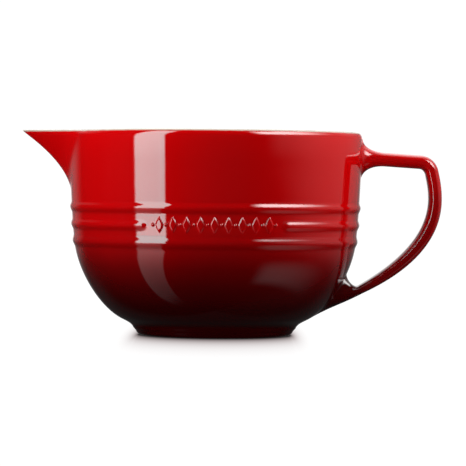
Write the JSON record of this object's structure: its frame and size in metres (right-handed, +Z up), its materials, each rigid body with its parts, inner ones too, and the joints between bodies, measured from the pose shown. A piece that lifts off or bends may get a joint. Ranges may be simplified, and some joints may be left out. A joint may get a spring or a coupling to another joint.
{
  "type": "mixing bowl",
  "caption": "Deep glazed stoneware mixing bowl on a short foot, with a pouring spout, an open loop handle opposite it and raised ribs round the middle.",
  "frame": {"origin": "the middle of the foot's flat resting face, on the bowl's axis", "axes": "+Z up the bowl's axis; +X from the axis towards the handle, so the spout points along -X; -Y is the front, which has the raised band of sprigs"},
  "size_m": [0.2627, 0.184, 0.127],
  "materials": {
    "red_glaze": "gloss",
    "cream_glaze": "gloss",
    "bare_clay": "matte"
  },
  "bodies": {
    "root": {"bowl_wall": "red_glaze", "foot_ring": "red_glaze", "interior_glaze": "cream_glaze", "channel_glaze": "cream_glaze", "pour_spout": "red_glaze", "rib_upper": "red_glaze", "rib_middle": "red_glaze", "rib_lower": "red_glaze", "relief_lozenges": "red_glaze", "relief_beads": "red_glaze", "handle_root_upper": "red_glaze", "handle_arm": "red_glaze", "handle_grip": "red_glaze", "handle_root_lower": "red_glaze"}
  },
  "joints": []
}
